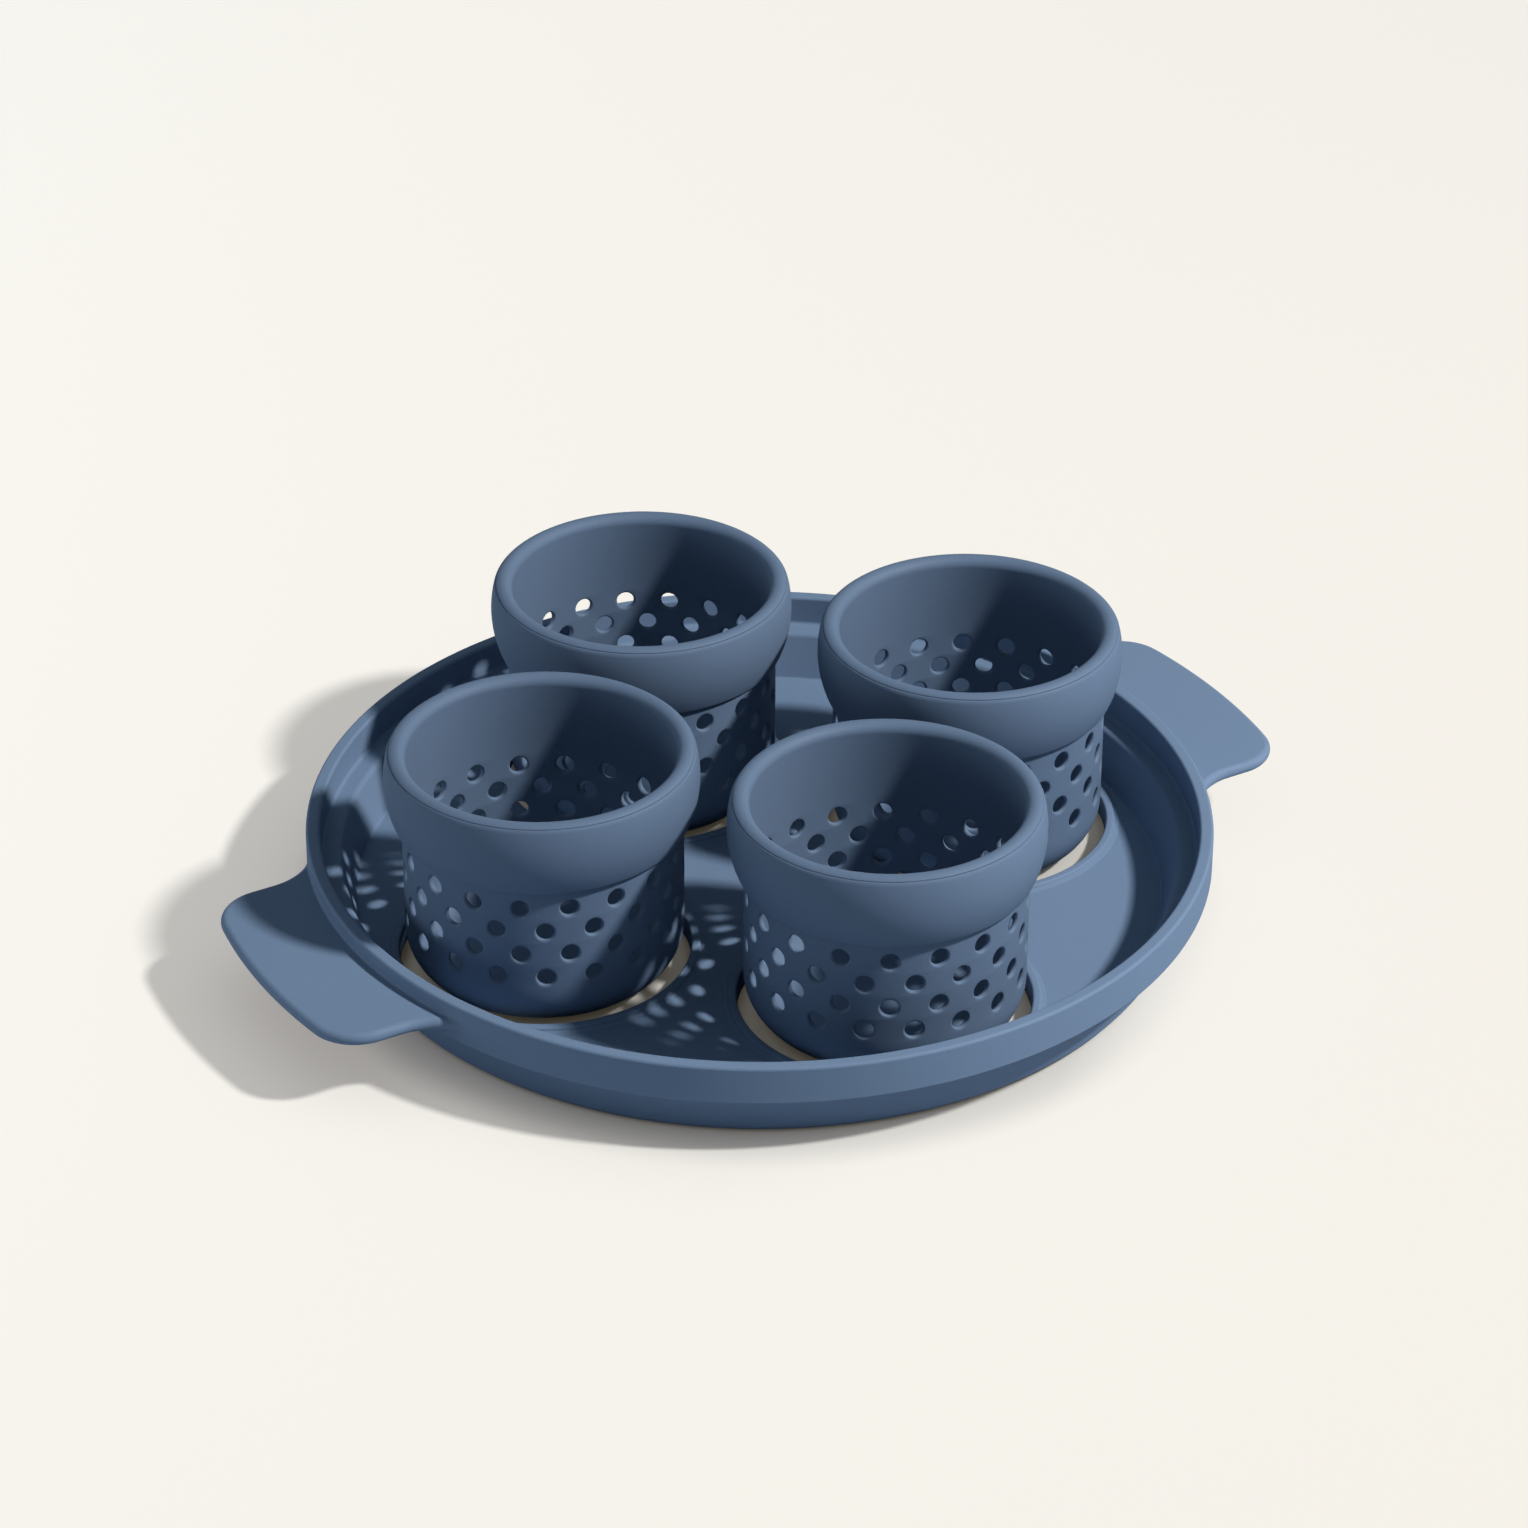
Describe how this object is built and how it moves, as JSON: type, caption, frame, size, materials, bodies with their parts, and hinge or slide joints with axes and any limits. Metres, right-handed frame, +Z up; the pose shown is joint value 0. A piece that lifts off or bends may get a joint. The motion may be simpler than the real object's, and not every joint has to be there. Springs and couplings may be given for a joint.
{
  "type": "egg poaching insert",
  "caption": "Round tray with two wing handles and seats for lift-out perforated cups with grip bands, for poaching eggs in a pan.",
  "frame": {"origin": "on the tray's axis, on the table that the tray and the cups stand on", "axes": "+X from the left handle to the right one, +Y to the back cup, +Z up"},
  "size_m": [0.3316, 0.272, 0.0742],
  "materials": {
    "tray_nylon": "fine matte moulded nylon, slate blue",
    "cup_nylon": "fine matte moulded nylon, slate blue",
    "grip_silicone": "soft matte silicone, slate blue"
  },
  "bodies": {
    "tray": {"tray": "tray_nylon"},
    "right_cup": {"cup_right": "cup_nylon", "grip_right": "grip_silicone"},
    "back_cup": {"cup_back": "cup_nylon", "grip_back": "grip_silicone"},
    "left_cup": {"cup_left": "cup_nylon", "grip_left": "grip_silicone"},
    "front_cup": {"cup_front": "cup_nylon", "grip_front": "grip_silicone"}
  },
  "joints": [
    {"name": "right_cup_lift", "type": "slide", "parent": "tray", "child": "right_cup", "axis": [0, 0, 1], "range_m": [-0.0442, 0.06]},
    {"name": "back_cup_lift", "type": "slide", "parent": "tray", "child": "back_cup", "axis": [0, 0, 1], "range_m": [-0.0442, 0.06]},
    {"name": "left_cup_lift", "type": "slide", "parent": "tray", "child": "left_cup", "axis": [0, 0, 1], "range_m": [-0.0442, 0.06]},
    {"name": "front_cup_lift", "type": "slide", "parent": "tray", "child": "front_cup", "axis": [0, 0, 1], "range_m": [-0.0442, 0.06]}
  ]
}
